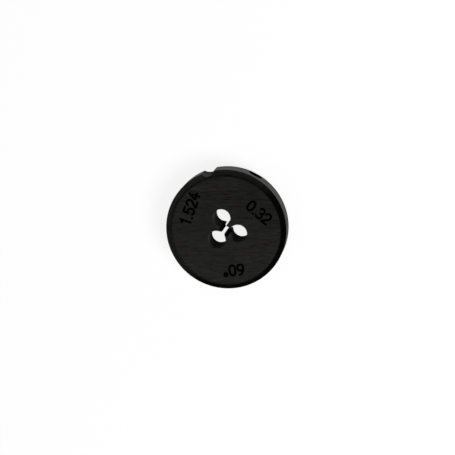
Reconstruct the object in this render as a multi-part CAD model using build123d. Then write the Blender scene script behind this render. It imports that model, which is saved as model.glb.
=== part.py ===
from build123d import *
import os
from math import ceil, radians, tan

os.makedirs("parts", exist_ok=True)

# Round threading die, solid pattern, which cuts 0-80 screw threads.
#
# It is one piece of hardened tool steel: a bevelled disc with a screw thread through its
# centre, three chip holes that break the thread into cutting lands, and a groove and
# conical screw seats in the rim by which a die stock grips it.
#
# Frame: millimetres and degrees. The origin is the centre of the back face, +Z is the
# thread axis and points to the marked face, and the groove in the rim looks along +Y.

# ---------------------------------------------------------------- driving dimensions

body_diameter = 20.0
body_thickness = 5.0
edge_chamfer = 0.8  # 45 degree bevel round both faces
edge_round = 0.1  # radius to which both edges of each bevel are broken

thread_major = 1.524  # over the crests of the screw that is cut, 0.060 inch
thread_pitch = 0.3175  # 80 threads to the inch, right handed
thread_angle = 60.0
tooth_flat = 1 / 4  # flat on the tip of each tooth, in pitches
root_flat = 1 / 8  # flat at the bottom of the groove between teeth, in pitches

start_relief = 0.2  # the long taper in the marked face opens this far outside the thread
start_angle = 60.0
finish_relief = 0.15  # the short taper in the back face
finish_angle = 90.0

flute_count = 3
flute_diameter = 3.0  # chip hole
flute_gap = 0.06  # from the tips of the teeth to the wall of a chip hole
window_angle = 49.0  # opening from a chip hole into the thread, between its rake faces

groove_cutter_radius = 1.25
groove_depth = 0.65

seat_mouth = 2.5  # conical screw seat, across its mouth on the rim
seat_angle = 90.0
seat_height = 1.8  # seat axis above the back face
seat_directions = (45.0, -45.0, 135.0, -135.0)  # from the groove

# ---------------------------------------------------------------- sizes that follow

body_radius = body_diameter / 2
thread_root_radius = thread_major / 2
flank_run = thread_pitch * (1 - tooth_flat - root_flat) / 2
tooth_height = flank_run / tan(radians(thread_angle / 2))
bore_radius = thread_root_radius - tooth_height
flute_circle_radius = bore_radius + flute_gap + flute_diameter / 2

groove_direction = 90.0  # the groove looks along +Y
overrun = 1.0  # how far a cutting tool runs out past the metal


def aimed(tool, direction):
    """A tool that was made along +X, turned about Z to a direction counted from the groove."""
    return Rot(Z=groove_direction + direction) * tool


def disc_blank():
    """The turned blank: half a section, its rim bevelled and its edges broken, about Z."""
    face_radius = body_radius - edge_chamfer
    section = Polyline(
        (0, 0),
        (face_radius, 0),
        (body_radius, edge_chamfer),
        (body_radius, body_thickness - edge_chamfer),
        (face_radius, body_thickness),
        (0, body_thickness),
        (0, 0),
    )
    half = make_face(section)
    outer_corners = half.vertices().sort_by(Axis.X)[2:]
    return revolve(Plane.XZ * fillet(outer_corners, edge_round), Axis.Z)


def through_hole(radius):
    """A drill along Z that runs out past both faces."""
    return Pos(Z=body_thickness / 2) * Cylinder(radius, body_thickness + 2 * overrun)


def chip_hole():
    """One chip hole and the window that joins it to the thread.

    The window is a wedge whose point lies on the thread axis, so both of its walls are
    radial and give the lands square cutting edges.
    """
    half_width = flute_circle_radius * tan(radians(window_angle / 2))
    wedge = Polyline(
        (0, 0), (flute_circle_radius, -half_width), (flute_circle_radius, half_width), (0, 0)
    )
    window = Pos(Z=-overrun) * extrude(make_face(wedge), body_thickness + 2 * overrun)
    return Pos(flute_circle_radius) * through_hole(flute_diameter / 2) + window


def taper(mouth_radius, angle):
    """A countersink that points down, with its mouth on the plane Z = 0."""
    slope = tan(radians(angle / 2))
    depth = mouth_radius / slope
    cone = Cone(0, mouth_radius + overrun * slope, depth + overrun)
    return Pos(Z=(overrun - depth) / 2) * cone


def thread_turn():
    """One turn of the groove between the teeth.

    A trapezium is swept along the helix of the major radius. Its narrow side lies on that
    radius, its flanks open inwards at the thread angle, and it ends a little inside the
    bore. The turn stops short of a full one, and the gap lies in the middle of the first
    window, where there is no metal.
    """
    gap = window_angle / 2
    reach = tooth_height + thread_pitch / 10
    narrow = root_flat * thread_pitch / 2
    wide = narrow + reach * tan(radians(thread_angle / 2))
    helix = Helix(thread_pitch, thread_pitch * (1 - gap / 360), thread_root_radius)
    section = Polyline((0, -narrow), (0, narrow), (-reach, wide), (-reach, -wide), (0, -narrow))
    across = Plane(origin=helix @ 0, x_dir=(1, 0, 0), z_dir=helix % 0)
    return Rot(Z=gap / 2) * sweep(across * make_face(section), path=helix, is_frenet=True)


def rim_groove():
    """The round-bottomed adjusting groove, cut straight across the rim."""
    centre = body_radius - groove_depth + groove_cutter_radius
    return Pos(centre) * through_hole(groove_cutter_radius)


def screw_seat():
    """One conical seat in the rim for the point of a clamping screw.

    The cone is turned half round its own axis, which keeps its seam line clear of the
    bevel's edge that the mouth crosses.
    """
    cone = Rot(Y=90) * Rot(Z=180) * taper(seat_mouth / 2, seat_angle)
    return Pos(body_radius, 0, seat_height) * cone


die = disc_blank() - aimed(rim_groove(), 0)
for direction in seat_directions:
    die -= aimed(screw_seat(), direction)

die -= through_hole(bore_radius)
for turn in range(flute_count):
    die -= aimed(chip_hole(), turn * 360 / flute_count)
die -= Pos(Z=body_thickness) * taper(thread_root_radius + start_relief, start_angle)
die -= Rot(X=180) * taper(thread_root_radius + finish_relief, finish_angle)

turns = range(-1, ceil(body_thickness / thread_pitch) + 1)
one_turn = aimed(thread_turn(), 0)
die -= [Pos(Z=turn * thread_pitch) * one_turn for turn in turns]

die.label = "die"
export_step(die, "parts/die.step")
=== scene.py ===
import math

import bmesh
import bpy
import numpy as np
from mathutils import Matrix, Vector


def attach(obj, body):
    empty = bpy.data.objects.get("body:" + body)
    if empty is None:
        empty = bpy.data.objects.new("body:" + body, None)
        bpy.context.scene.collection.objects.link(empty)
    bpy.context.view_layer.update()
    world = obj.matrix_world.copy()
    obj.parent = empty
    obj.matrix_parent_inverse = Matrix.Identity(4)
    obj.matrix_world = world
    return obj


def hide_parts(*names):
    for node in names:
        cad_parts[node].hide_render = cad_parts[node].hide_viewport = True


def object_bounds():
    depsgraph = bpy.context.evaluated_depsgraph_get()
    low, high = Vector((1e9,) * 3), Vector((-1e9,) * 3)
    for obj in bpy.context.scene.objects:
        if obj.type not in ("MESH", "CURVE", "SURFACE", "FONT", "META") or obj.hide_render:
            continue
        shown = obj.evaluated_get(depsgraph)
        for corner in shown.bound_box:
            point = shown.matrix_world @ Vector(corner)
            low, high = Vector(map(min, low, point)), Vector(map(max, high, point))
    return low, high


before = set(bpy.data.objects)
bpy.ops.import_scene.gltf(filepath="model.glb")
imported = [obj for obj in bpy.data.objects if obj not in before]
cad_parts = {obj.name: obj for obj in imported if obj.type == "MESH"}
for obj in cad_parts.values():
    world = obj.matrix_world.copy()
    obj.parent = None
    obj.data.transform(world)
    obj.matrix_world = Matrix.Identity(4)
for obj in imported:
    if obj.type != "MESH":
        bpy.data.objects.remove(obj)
cad_low, cad_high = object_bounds()

# Round threading die. Lengths are metres, and MM turns the millimetres of the drawing into them.
MM = 0.001

# The die's own sizes, as the frame holds them
FACE_HEIGHT = cad_high.z
RIM_RADIUS = cad_high.x
BEVEL = 0.8 * MM
EDGE_ROUND = 0.1 * MM
HOLE_REACH = 4.0 * MM  # the thread and the chip holes lie inside this radius
THREAD_REACH = 1.0 * MM  # and the thread with its tapers inside this one
SEAT_RADIUS = 1.25 * MM  # of a conical seat's mouth; its sides slope at 45 degrees
SEAT_HEIGHT = 1.8 * MM  # of its axis, as the frame holds it
NOTCH_LEFT = 0.1  # share of the notch that a seat makes in the bevel which is left in it
SEAT_REACH = 0.5 * MM  # the notches lie nearer than this to the rim
CONE_SLACK = 0.005 * MM  # how far off its exact cone a seat's vertex may lie
WELD = 0.0001 * MM  # corners that round to the same step of this are one

# ---------------------------------------------------------------- engraved figures

FIGURE_HEIGHT = 1.72 * MM  # between the middles of the strokes
STROKE_WIDTH = 0.36 * MM
STROKE_DEPTH = 0.14 * MM
STROKE_TOP = 0.2 * MM  # how far the graver's solid stands above the face
ARC_STEP = math.radians(12)
ARC_FULLNESS = 0.86  # power of sine and cosine in an arc: 1 is an ellipse, less is squarer
SECTION_POINTS = 9  # along the half ellipse of a stroke's section
END_ANGLES = np.radians(np.arange(4, 90, 14))  # of the sections that round off an open end

# Each line of figures: what it says, direction of its normal in degrees, its distance from
# the thread axis, how far along the line its middle lies, and the step between figures.
# They are the thread's diameter and pitch in mm, and its angle, where ' is the degree ring.
FIGURE_LINES = [
    ("1.524", 143.5, 6.69 * MM, 1.49 * MM, 1.32 * MM),
    ("0.32", 33.3, 6.01 * MM, 2.29 * MM, 1.30 * MM),
    ("60'", -100.5, 6.76 * MM, -0.34 * MM, 1.36 * MM),
]

# Strokes of each figure in a cell 1 high, middle of the cell at x = 0. A stroke is a chain
# of straight runs (x, y) or one arc: (centre x, centre y, radius x, radius y, from, to).
FIGURES = {
    "0": [("arc", 0, 0.5, 0.28, 0.5, 0, 360)],
    "1": [("run", (-0.2, 0.78), (0.04, 1.0)), ("run", (0.04, 1.0), (0.04, 0.0))],
    "2": [("arc", 0, 0.7, 0.27, 0.3, 165, -35), ("run", (0.225, 0.54), (-0.28, 0.0)),
          ("run", (-0.28, 0.0), (0.3, 0.0))],
    "3": [("arc", -0.02, 0.75, 0.26, 0.25, 150, -90), ("arc", -0.02, 0.25, 0.3, 0.25, 90, -150)],
    "4": [("run", (0.1, 1.0), (-0.3, 0.3)), ("run", (-0.3, 0.3), (0.32, 0.3)),
          ("run", (0.12, 0.62), (0.12, 0.0))],
    "5": [("run", (0.24, 1.0), (-0.22, 1.0)), ("run", (-0.22, 1.0), (-0.25, 0.56)),
          ("arc", -0.01, 0.31, 0.28, 0.31, 145, -145)],
    "6": [("arc", 0, 0.3, 0.28, 0.3, 0, 360), ("arc", 0.22, 0.3, 0.5, 0.7, 180, 96)],
    "'": [("arc", -0.12, 0.86, 0.14, 0.14, 0, 360)],
    ".": [("run", (-0.03, 0.0), (0.03, 0.0))],
}
NARROW = {".": 0.5, "1": 0.8}  # share of the step that a narrow figure takes


def stroke_points(stroke):
    """Points along one stroke in its cell: the ends of a run, or an arc walked in equal
    steps of its angle, whose sine and cosine are raised to the same power."""
    kind, *values = stroke
    if kind == "run":
        return np.array(values, float)
    x, y, radius_x, radius_y, start, end = values
    turn = np.radians(end - start)
    count = max(2, int(abs(turn) / ARC_STEP) + 1)
    angle = np.radians(start) + np.linspace(0, turn, count)
    across, up = (np.sign(v) * np.abs(v) ** ARC_FULLNESS for v in (np.cos(angle), np.sin(angle)))
    return np.stack([x + radius_x * across, y + radius_y * up], 1)


def graver_stroke(points, closed):
    """The solid that one stroke takes out of the face, as (vertices, faces).

    Its section is a half ellipse below the face, as wide as the stroke, with upright sides
    above it. It is carried along the points. At an open end the section shrinks with the
    sine of an angle that runs to 0, which rounds the end off.
    """
    if closed:
        points = points[:-1]
        along = np.roll(points, -1, 0) - np.roll(points, 1, 0)
        scale = np.ones(len(points))
    else:
        first, last = points[0] - points[1], points[-1] - points[-2]
        first, last = first / np.linalg.norm(first), last / np.linalg.norm(last)
        out = np.cos(END_ANGLES)[:, None] * STROKE_WIDTH / 2
        end_rows = (len(END_ANGLES), 1)
        along = np.gradient(points, axis=0)
        along = np.concatenate([np.tile(-first, end_rows), along, np.tile(last, end_rows)])
        shrink = np.sin(END_ANGLES)
        scale = np.concatenate([shrink, np.ones(len(points)), shrink[::-1]])
        points = np.concatenate([points[0] + first * out, points, points[-1] + (last * out)[::-1]])
    along = along / np.linalg.norm(along, axis=1)[:, None]
    side = np.stack([along[:, 1], -along[:, 0]], 1)
    angle = np.linspace(math.pi, 2 * math.pi, SECTION_POINTS)
    across = np.concatenate([[-1], np.cos(angle), [1]])
    down = np.concatenate([[STROKE_TOP], np.sin(angle) * STROKE_DEPTH, [STROKE_TOP]])
    offset = across[None, :] * scale[:, None] * STROKE_WIDTH / 2
    flat = points[:, None, :] + offset[:, :, None] * side[:, None, :]
    height = np.where(down > 0, down, down * scale[:, None])
    grid = np.concatenate([flat, height[:, :, None]], 2)
    rows, columns = height.shape
    index = np.arange(rows * columns).reshape(rows, columns)
    steps = rows if closed else rows - 1
    here, ahead = index[:steps], np.roll(index, -1, 0)[:steps]
    corners = [here, ahead, np.roll(ahead, -1, 1), np.roll(here, -1, 1)]
    faces = np.stack(corners, -1).reshape(-1, 4).tolist()
    if not closed:
        faces += [index[0].tolist(), index[-1][::-1].tolist()]
    return grid.reshape(-1, 3), faces


def graver_solid():
    """All strokes of all figure lines, placed on the marked face, as one mesh object."""
    vertices, faces = [], []
    total = 0
    for text, direction, distance, shift, step in FIGURE_LINES:
        up = np.array([math.cos(math.radians(direction)), math.sin(math.radians(direction))])
        right = np.array([up[1], -up[0]])
        widths = np.array([NARROW.get(c, 1.0) for c in text]) * step
        places = np.cumsum(widths) - widths / 2 - widths.sum() / 2
        for character, place in zip(text, places):
            for stroke in FIGURES[character]:
                points = stroke_points(stroke) * FIGURE_HEIGHT
                points[:, 0] += place + shift
                points[:, 1] += distance - FIGURE_HEIGHT / 2
                ring = stroke[0] == "arc" and abs(stroke[-1] - stroke[-2]) == 360
                solid, sides = graver_stroke(points, ring)
                flat = solid[:, :1] * right + solid[:, 1:2] * up
                vertices.append(np.column_stack([flat, solid[:, 2] + FACE_HEIGHT]))
                faces += [[v + total for v in face] for face in sides]
                total += len(solid)
    mesh = bpy.data.meshes.new("graver")
    mesh.from_pydata(np.concatenate(vertices).tolist(), [], faces)
    made = bmesh.new()
    made.from_mesh(mesh)
    bmesh.ops.recalc_face_normals(made, faces=made.faces)
    made.to_mesh(mesh)
    made.free()
    tool = bpy.data.objects.new("graver", mesh)
    bpy.context.scene.collection.objects.link(tool)
    return tool


def welded(mesh, name):
    """A copy of a mesh of loose triangles as one skin: corners whose places round to the same
    step of WELD become one vertex, and triangles that this closes up are dropped."""
    places = np.empty(len(mesh.vertices) * 3, np.float32)
    mesh.vertices.foreach_get("co", places)
    corners = np.empty(len(mesh.polygons) * 3, np.int32)
    mesh.polygons.foreach_get("vertices", corners)
    cell = np.round(places.reshape(-1, 3).astype(float) / WELD).astype(np.int64)
    _, first, which = np.unique(cell, axis=0, return_index=True, return_inverse=True)
    triangles = which.reshape(-1)[corners].reshape(-1, 3)
    a, b, c = triangles.T
    triangles = triangles[(a != b) & (b != c) & (c != a)]
    skin = bpy.data.meshes.new(name)
    skin.from_pydata(places.reshape(-1, 3)[first].tolist(), [], triangles.tolist())
    return skin


def trim_seats(mesh):
    """Ends the mouths of the four conical seats at the broken edge between the rim and the
    bevel of the back face. A seat's axis is the nearest odd multiple of 45 degrees. A vertex is
    on its cone where the distance from that axis and the depth below the rim add up to the
    mouth's radius. Those that lie on the bevel slide up it nearly to the broken edge, and the
    small share of the way that is left keeps their triangles apart."""
    places = np.empty(len(mesh.vertices) * 3)
    mesh.vertices.foreach_get("co", places)
    x, y, z = places.reshape(-1, 3).T
    quarter = math.pi / 2
    axis = (np.floor(np.arctan2(y, x) / quarter) + 0.5) * quarter
    along = x * np.cos(axis) + y * np.sin(axis)
    across = y * np.cos(axis) - x * np.sin(axis)
    depth = RIM_RADIUS - along
    off_cone = np.hypot(across, z - SEAT_HEIGHT) + depth - SEAT_RADIUS
    lip = BEVEL - EDGE_ROUND * (1 - math.sqrt(0.5))
    on_bevel = (np.abs(off_cone) < CONE_SLACK) & (z < lip) & (depth < SEAT_REACH)
    height = np.where(on_bevel, lip - NOTCH_LEFT * (lip - z), z)
    out = np.where(on_bevel, (RIM_RADIUS - BEVEL + height) / np.hypot(x, y), 1.0)
    mesh.vertices.foreach_set("co", np.stack([x * out, y * out, height], 1).reshape(-1))


def engraved_die():
    """The die's own mesh with the seats trimmed and the figures cut into the marked face."""
    blank = bpy.data.objects.new("blank", welded(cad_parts["die"].data, "blank"))
    trim_seats(blank.data)
    bpy.context.scene.collection.objects.link(blank)
    tool = graver_solid()
    cut = blank.modifiers.new("cut", "BOOLEAN")
    cut.operation = "DIFFERENCE"
    cut.solver = "EXACT"
    cut.use_self = True
    cut.object = tool
    bpy.context.view_layer.update()
    shaped = blank.evaluated_get(bpy.context.evaluated_depsgraph_get())
    mesh = bpy.data.meshes.new_from_object(shaped)
    mesh.name = "engraved_die"
    bpy.data.objects.remove(blank)
    bpy.data.objects.remove(tool)
    made = bpy.data.objects.new("engraved_die", mesh)
    bpy.context.scene.collection.objects.link(made)
    return made


# ---------------------------------------------------------------- surfaces of the die

SURFACES = [
    "ground_face", "ground_rim", "bevel_skin", "groove_skin", "seat_skin_and_shade", "hole_skin",
    "thread_cut", "engraving",
]
GROOVE_REACH = 3.0 * MM  # the groove lies nearer than this to the plane X = 0, the seats further
BEVEL_SLACK = 0.03 * MM  # how far inside a bevel's cone its polygons' middles may lie
RIM_SLACK = 0.02 * MM  # and inside the rim's cylinder
FACE_INSET = 0.1 * MM  # the engraving keeps at least this far inside the bevels
STRAIGHT_OUT = 0.999  # least outward part of a normal on the rim
STRAIGHT_UP = 0.9999  # least upright part of a normal on a face
BEVEL_OUTWARD, BEVEL_UPRIGHT = 0.1, 0.05  # least outward and upright parts on a bevel
SHARP = math.radians(28)  # edges that turn more than this are sharp


def surface_of_each_polygon(mesh):
    """Which of SURFACES each polygon belongs to, worked out from its middle and its normal.

    Faces look straight up or down. A bevel's middle lies on the cone on which radius and
    height over the middle of the die add up to one sum. The rim looks straight outwards at
    the full radius. What is left near the rim is the groove and the seats. Polygons at the
    strokes' depth are engraving even where they look straight up.
    """
    count = len(mesh.polygons)
    normal, middle = np.empty(count * 3), np.empty(count * 3)
    mesh.polygons.foreach_get("normal", normal)
    mesh.polygons.foreach_get("center", middle)
    normal, middle = normal.reshape(-1, 3), middle.reshape(-1, 3)
    radius = np.hypot(middle[:, 0], middle[:, 1])
    rise = np.abs(middle[:, 2] - FACE_HEIGHT / 2)
    depth = FACE_HEIGHT - middle[:, 2]
    upright = np.abs(normal[:, 2])
    outward = np.sum(normal[:, :2] * middle[:, :2], 1) / np.maximum(radius, WELD)
    cone = radius + rise > RIM_RADIUS + FACE_HEIGHT / 2 - BEVEL - BEVEL_SLACK
    surface = np.full(count, SURFACES.index("groove_skin"))
    surface[np.abs(middle[:, 0]) > GROOVE_REACH] = SURFACES.index("seat_skin_and_shade")
    surface[radius < HOLE_REACH] = SURFACES.index("hole_skin")
    surface[radius < THREAD_REACH] = SURFACES.index("thread_cut")
    rim = (radius > RIM_RADIUS - RIM_SLACK) & (outward > STRAIGHT_OUT)
    surface[rim] = SURFACES.index("ground_rim")
    bevel = cone & (outward > BEVEL_OUTWARD) & (upright > BEVEL_UPRIGHT)
    surface[bevel] = SURFACES.index("bevel_skin")
    inside = (radius > HOLE_REACH) & (radius < RIM_RADIUS - BEVEL - FACE_INSET)
    surface[inside] = SURFACES.index("engraving")
    surface[upright > STRAIGHT_UP] = SURFACES.index("ground_face")
    deep = inside & (depth > STROKE_DEPTH / 2) & (depth < STROKE_DEPTH * 2)
    surface[deep] = SURFACES.index("engraving")
    return surface


def mark_sharp_edges(mesh, surface):
    """Edges are sharp where two polygons meet at more than SHARP, and between surfaces."""
    made = bmesh.new()
    made.from_mesh(mesh)
    made.faces.ensure_lookup_table()
    for edge in made.edges:
        kinds = {surface[face.index] for face in edge.link_faces}
        edge.smooth = len(kinds) == 1 and edge.calc_face_angle(0) < SHARP
    made.to_mesh(mesh)
    made.free()


# ---------------------------------------------------------------- shader maths


def operator(operation, swapped=False):
    """A method that adds the Math node of an operator, or of its reflected form."""

    def method(self, other):
        terms = (other, self) if swapped else (self, other)
        return node(self.socket.id_data, "Math", {"operation": operation}, dict(enumerate(terms)))

    return method


class Value:
    """An output of a shader node. Adding, multiplying and so on adds the Math node for it."""

    def __init__(self, socket):
        self.socket = socket

    __add__, __radd__ = operator("ADD"), operator("ADD", swapped=True)
    __sub__, __rsub__ = operator("SUBTRACT"), operator("SUBTRACT", swapped=True)
    __mul__, __rmul__ = operator("MULTIPLY"), operator("MULTIPLY", swapped=True)
    __truediv__ = operator("DIVIDE")
    __pow__ = operator("POWER")

    def math(self, operation, other):
        """One more Math node, for what has no operator in Python."""
        return operator(operation)(self, other)

    def step(self, low, high, at_low=0.0, at_high=1.0):
        """A smooth step from at_low where the value is low, to at_high where it is high."""
        settings = {"interpolation_type": "SMOOTHSTEP"}
        inputs = {"Value": self, "From Min": low, "From Max": high,
                  "To Min": at_low, "To Max": at_high}
        return node(self.socket.id_data, "MapRange", settings, inputs)


def node(tree, kind, settings=None, inputs=None, output=0):
    """A new node of a kind. Its settings are made first, and then each of its sockets gets a
    number, a colour or a link. What comes back is one of its outputs, by number or by name."""
    made = tree.nodes.new("ShaderNode" + kind)
    for name, setting in (settings or {}).items():
        setattr(made, name, setting)
    for name, value in (inputs or {}).items():
        if isinstance(name, int):
            socket = made.inputs[name]
        else:
            socket = next(s for s in made.inputs if s.name == name and s.enabled)
        if isinstance(value, Value):
            tree.links.new(value.socket, socket)
        else:
            socket.default_value = value
    if isinstance(output, str):
        return Value(made.outputs[output])
    shown = [s for s in made.outputs if s.enabled]
    return Value(shown[output]) if shown else None


class Finish:
    """A material whose patterns are sums of values over the die's own coordinates, in mm."""

    def __init__(self, name):
        self.material = bpy.data.materials.new(name)
        self.material.use_nodes = True
        self.tree = self.material.node_tree
        self.tree.nodes.clear()
        place = node(self.tree, "TexCoord", output="Object")
        to_mm = {"Vector": place, "Scale": (1 / MM, 1 / MM, 1 / MM)}
        parts = {"Vector": node(self.tree, "Mapping", {"vector_type": "POINT"}, to_mm)}
        self.x, self.y, self.z = (
            node(self.tree, "SeparateXYZ", inputs=parts, output=axis) for axis in "XYZ"
        )
        self.radius = (self.x * self.x + self.y * self.y) ** 0.5

    def noise(self, x, y, z, detail=3.0, roughness=0.55):
        """Cloudy noise about 0.5 whose features are about 1 across in the three values."""
        where = node(self.tree, "CombineXYZ", inputs={"X": x, "Y": y, "Z": z})
        inputs = {"Vector": where, "Scale": 1.0, "Detail": detail, "Roughness": roughness}
        return node(self.tree, "TexNoise", {"noise_dimensions": "3D"}, inputs)

    def streaks(self, direction, length, width, seed=0.0, detail=3.0):
        """Noise on a flat face, drawn out along a direction in degrees."""
        angle = math.radians(direction)
        along = self.x * math.cos(angle) + self.y * math.sin(angle)
        across = self.y * math.cos(angle) - self.x * math.sin(angle)
        height = self.z * 0.1 + seed
        return self.noise(along / length + seed, across / width + seed, height, detail)

    def brightened(self, colour, amount):
        """The colour times an amount."""
        grey = node(self.tree, "CombineXYZ", inputs={"X": amount, "Y": amount, "Z": amount})
        settings = {"data_type": "RGBA", "blend_type": "MULTIPLY"}
        return node(self.tree, "Mix", settings, {"Factor": 1.0, "A": (*colour, 1), "B": grey})

    def metal(self, colour, roughness, height, metallic=1.0, glance=1.0, gloss=0.5):
        """Bare or skinned steel. height is what stands proud of the surface, in mm. glance is
        how much of the light that skims the metal it throws back, and gloss the same for
        what isn't metal."""
        bump = {"Height": height, "Distance": MM, "Strength": 1.0}
        normal = node(self.tree, "Bump", inputs=bump)
        inputs = {"Base Color": colour, "Roughness": roughness, "Metallic": metallic,
                  "Specular Tint": (glance, glance, glance, 1), "Specular IOR Level": gloss,
                  "Normal": normal}
        shader = node(self.tree, "BsdfPrincipled", inputs=inputs)
        node(self.tree, "OutputMaterial", inputs={"Surface": shader})
        return self.material


# ---------------------------------------------------------------- finishes

STEEL = (0.0360, 0.0354, 0.0324)  # tool steel ground after hardening
# painted reflection: the rim's ground steel is set about seven times lighter than the face's, for
# the bright floor it mirrors
RIM_STEEL_PAINTED_LIGHT = (0.250, 0.252, 0.240)
SKIN = (0.0120, 0.0118, 0.0109)  # black skin left by hardening
HOLE_SKIN = (0.075, 0.074, 0.070)
GROOVE_SKIN = (0.07, 0.069, 0.066)
THREAD_SKIN = (0.02, 0.0196, 0.0184)
# in the strokes this is their own black; in the seats it is painted shade of the recess over their
# black skin
STROKE_BLACK_AND_SEAT_SHADE = (0.002, 0.002, 0.002)  # in the seats and the strokes
GRAIN_DIRECTION = -16.8  # of the surface grinder's streaks, in degrees
WORN_RADIUS = 8.8  # mm, from where the face's edge looks worn down
WEAR = 0.5  # mm that the edge falls, one mm outside that radius


def ground_face():
    """Faces: streaks of the surface grinder, all one way, and a few finer scratches. Near
    the bevel the edge looks worn down, a little more on one side."""
    made = Finish("ground_face")
    broad = made.streaks(GRAIN_DIRECTION, length=5.0, width=0.7)
    streak = made.streaks(GRAIN_DIRECTION + 1.5, length=1.6, width=0.16, seed=3.1)
    fine = made.streaks(GRAIN_DIRECTION - 1.0, length=0.7, width=0.05, seed=7.7)
    cloud = made.noise(made.x * 0.22, made.y * 0.22, made.z * 0.22)
    # painted light: each face is made a little lighter towards -X and -Y, as a near lamp would
    # light it
    painted_light_drift = made.x * -0.010 + made.y * -0.018
    strength = 2.2 * cloud - 0.1
    grain = (broad - 0.5) * 0.7 + (streak - 0.5) * 1.8 + (fine - 0.5) * 1.1
    level = 1.02 + grain * strength + (cloud - 0.5) * 0.3 + painted_light_drift
    wander = made.noise(made.x / 1.2, made.y / 1.2, made.z / 1.2) * 0.12
    off_centre = made.x * 0.016 + made.y * -0.004
    past_edge = (made.radius + wander - off_centre - WORN_RADIUS).math("MAXIMUM", 0.0)
    rough = (streak - 0.5) * 0.16 + (fine - 0.5) * 0.14 + 0.36
    height = fine * 0.0013 + streak * 0.0009 - past_edge * past_edge * WEAR
    return made.metal(made.brightened(STEEL, level), rough, height)


def ground_rim():
    """Rim: marks of the cylindrical grinder run round it."""
    made = Finish("ground_rim")
    ring = made.noise(made.x / 6.0, made.y / 6.0, made.z / 0.05)
    band = made.noise(made.x / 3.0, made.y / 3.0, made.z / 0.7)
    # the rim's lighter steel is painted light, standing in for the bright floor it mirrors
    colour = made.brightened(RIM_STEEL_PAINTED_LIGHT, ring * 0.7 + band * 1.3)
    return made.metal(colour, (ring - 0.5) * 0.2 + 0.3, ring * 0.002)


def skin(name, ring_of, colour=SKIN, roughness=0.42, size=0.09, **optics):
    """Black skin over turned or drilled marks, whose rings lie where ring_of is the same."""
    made = Finish(name)
    ring = made.noise(made.x / 3.0, made.y / 3.0, ring_of(made) / size)
    cloud = made.noise(made.x / 0.9, made.y / 0.9, made.z / 0.9, detail=4.0)
    shade = made.brightened(colour, ring * 0.8 + cloud * 1.6 - 0.2)
    rough = (cloud - 0.5) * 0.25 + (ring - 0.5) * 0.15 + roughness
    return made.metal(shade, rough, ring * 0.0021 + cloud * 0.0009, **optics)


MATERIALS = {
    "ground_face": ground_face(),
    "ground_rim": ground_rim(),
    "bevel_skin": skin("bevel_skin", lambda m: m.radius - m.z, roughness=0.3, glance=0.5),
    "groove_skin": skin("groove_skin", lambda m: m.z, colour=GROOVE_SKIN),
    # the seats' near-black is painted shade of the recesses, laid over their black skin
    "seat_skin_and_shade": skin("seat_skin_and_shade", lambda m: m.z, colour=STROKE_BLACK_AND_SEAT_SHADE, roughness=0.7, glance=0.1),
    "hole_skin": skin("hole_skin", lambda m: m.z, colour=HOLE_SKIN, roughness=0.5,
                      metallic=0.1, glance=0.4, gloss=0.15),
    "thread_cut": skin("thread_cut", lambda m: m.radius * 2.0, colour=THREAD_SKIN, size=0.2,
                       glance=0.2),
    "engraving": skin("engraving", lambda m: m.z, colour=STROKE_BLACK_AND_SEAT_SHADE, roughness=0.6),
}


def finished_die():
    """The engraved die with its surfaces told apart, each in its own finish. Shading is
    weighted by area, so a cone stays plain up to its rounded edges."""
    die = engraved_die()
    surface = surface_of_each_polygon(die.data)
    mark_sharp_edges(die.data, surface)
    for name in SURFACES:
        die.data.materials.append(MATERIALS[name])
    die.data.polygons.foreach_set("material_index", surface.astype(np.int32))
    die.data.polygons.foreach_set("use_smooth", np.ones(len(die.data.polygons), bool))
    weighted = die.modifiers.new("weighted", "WEIGHTED_NORMAL")
    weighted.mode = "FACE_AREA"
    weighted.weight = 100  # the most it takes: large polygons rule
    weighted.keep_sharp = True
    return die


die = finished_die()
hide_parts("die")
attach(die, "root")

# ---------------------------------------------------------------- camera

TILT = math.radians(14.9)  # between the thread axis and the camera's direction
TILT_DIRECTION = math.radians(38.7)  # of the camera, seen from the die, counted from +X
SCREEN_DIRECTION = math.radians(55.5)  # the same direction as the picture shows it
CAMERA_DISTANCE = 250 * MM
AIM = (0.370 * MM, 0.512 * MM)  # right of and above the middle of the marked face
LENS = 120.7  # mm of focal length
CLIP_START, CLIP_END = 10 * MM, 10.0  # metres


def camera_axes():
    """The camera's right, up and back directions, from the three angles above."""
    tip = Vector((math.cos(TILT_DIRECTION), math.sin(TILT_DIRECTION), 0))
    turn = Vector((-tip.y, tip.x, 0))
    axis = Vector((0, 0, 1))
    across = tip * math.cos(TILT) - axis * math.sin(TILT)
    right = across * math.cos(SCREEN_DIRECTION) - turn * math.sin(SCREEN_DIRECTION)
    up = across * math.sin(SCREEN_DIRECTION) + turn * math.cos(SCREEN_DIRECTION)
    back = tip * math.sin(TILT) + axis * math.cos(TILT)
    return right, up, back


def add_camera():
    """The camera, aimed a little beside the middle of the marked face."""
    right, up, back = camera_axes()
    camera = bpy.data.objects.new("camera", bpy.data.cameras.new("camera"))
    camera.data.lens = LENS
    camera.data.clip_start = CLIP_START
    camera.data.clip_end = CLIP_END
    aim = Vector((0, 0, FACE_HEIGHT)) + right * AIM[0] + up * AIM[1]
    place = Matrix((right, up, back)).transposed().to_4x4()
    place.translation = aim + back * CAMERA_DISTANCE
    camera.matrix_world = place
    bpy.context.scene.collection.objects.link(camera)
    bpy.context.scene.camera = camera


add_camera()

# ---------------------------------------------------------------- studio

LIGHT_SIDE = math.radians(120.3)  # direction of the light side of the studio
OVERHEAD, LIGHT_WALL, DARK_WALL, GAP = 0.44, 1.0, 0.18, 0.03
CEILING = Vector((-0.2007, -0.1608, 0.9664))  # direction of the middle of the ceiling light

# Where the steps of the studio lie. Sides are cosines from the light side, a height is the
# upright part of a direction, and the ceiling's edge is a cosine from its middle.
WALL_SIDES = (-0.3, 0.1)
WALL_HEIGHTS = (0.18, 0.36)
CEILING_EDGE = (0.76, 0.88)

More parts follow.
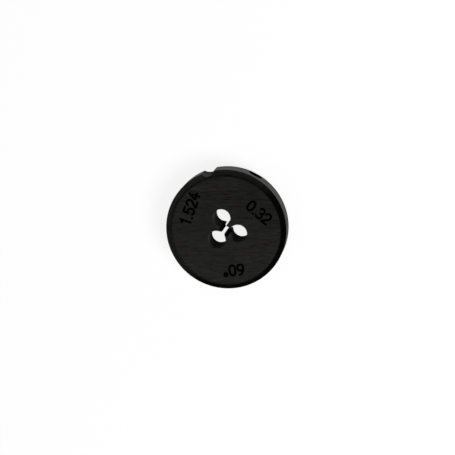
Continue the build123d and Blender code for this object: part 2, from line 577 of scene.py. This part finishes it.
# The floor's, of which the last two are distances from the thread axis in mm
FLOOR_HALF = 2.0  # metres from its middle to a side
FLOOR_SIDES = (-0.25, 0.05)
CONTACT = (9.7, 10.6)  # from under the die to beside it
SHADED = (12.0, 20.0)  # from beside the die to the open floor
# painted shadow: the floor's glow for metal is dimmed under and beside the die
UNDER_DIE, BESIDE_DIE = 0.05, 0.2  # how much the floor glows there for metal
FLOOR_SEEN = 0.86  # how much it glows for the camera
FLOOR_PAINT = (0.22, 0.22, 0.22)  # and its paint, which takes the die's shadow


def add_floor():
    """A white floor. The camera sees all of it glow. The glow that metal sees is painted: light
    and dark by side as the wall behind it, with a painted shadow round and under the die."""
    floor = bpy.data.objects.new("floor", bpy.data.meshes.new("floor"))
    signs = [(-1, -1), (1, -1), (1, 1), (-1, 1)]
    corners = [(FLOOR_HALF * x, FLOOR_HALF * y, 0) for x, y in signs]
    floor.data.from_pydata(corners, [], [(0, 1, 2, 3)])
    bpy.context.scene.collection.objects.link(floor)
    made = Finish("floor")
    camera = node(made.tree, "LightPath", output="Is Camera Ray")
    glossy = node(made.tree, "LightPath", output="Is Glossy Ray")
    towards_light = made.x * math.cos(LIGHT_SIDE) + made.y * math.sin(LIGHT_SIDE)
    painted_side_light = (towards_light / made.radius).step(*FLOOR_SIDES, DARK_WALL, LIGHT_WALL)
    painted_contact_shadow = made.radius.step(*CONTACT, UNDER_DIE, BESIDE_DIE)
    out = made.radius.step(*SHADED)
    pool = painted_contact_shadow * (1.0 - out) + painted_side_light * out
    glow = node(made.tree, "Emission", inputs={"Strength": camera * FLOOR_SEEN + glossy * pool})
    painted = {"Color": made.brightened(FLOOR_PAINT, camera)}
    paint = node(made.tree, "BsdfDiffuse", inputs=painted)
    both = node(made.tree, "AddShader", inputs={0: glow, 1: paint})
    node(made.tree, "OutputMaterial", inputs={"Surface": both})
    floor.data.materials.append(made.material)


def add_world():
    """A plain studio: white for the camera. The die sees one light wall and one dark wall, a
    dim gap above them and a round ceiling light, with soft steps between them."""
    world = bpy.data.worlds.new("studio")
    bpy.context.scene.world = world
    world.use_nodes = True
    tree = world.node_tree
    tree.nodes.clear()
    camera = node(tree, "LightPath", output="Is Camera Ray")
    look = node(tree, "TexCoord", output="Generated")
    x, y, z = (node(tree, "SeparateXYZ", inputs={"Vector": look}, output=axis) for axis in "XYZ")
    side = x * math.cos(LIGHT_SIDE) + y * math.sin(LIGHT_SIDE)
    wall = side.step(*WALL_SIDES, DARK_WALL, LIGHT_WALL)
    low = z.step(*WALL_HEIGHTS, 1.0, 0.0)
    overhead = x * CEILING.x + y * CEILING.y + z * CEILING.z
    ceiling = overhead.step(*CEILING_EDGE, GAP, OVERHEAD)
    studio = (wall - ceiling) * low + ceiling
    level = studio + camera * (1.0 - studio)
    sky = node(tree, "Background", inputs={"Color": (1, 1, 1, 1), "Strength": level})
    node(tree, "OutputWorld", inputs={"Surface": sky})


def add_lamp(name, direction, height, distance, size, power):
    """A square soft lamp that looks at the die from a direction and a height, in degrees. Its
    distance and size are metres and its power is watts. Metal doesn't mirror it."""
    a, b = math.radians(direction), math.radians(height)
    towards = Vector((math.cos(a) * math.cos(b), math.sin(a) * math.cos(b), math.sin(b)))
    lamp = bpy.data.objects.new(name, bpy.data.lights.new(name, "AREA"))
    lamp.data.size = size
    lamp.data.energy = power
    lamp.location = towards * distance
    lamp.rotation_euler = towards.to_track_quat("Z", "Y").to_euler()
    lamp.visible_glossy = False
    bpy.context.scene.collection.objects.link(lamp)


add_floor()
add_world()
add_lamp("key", direction=-42, height=50, distance=0.5, size=0.25, power=1.5)

bpy.context.scene.view_settings.view_transform = "Standard"
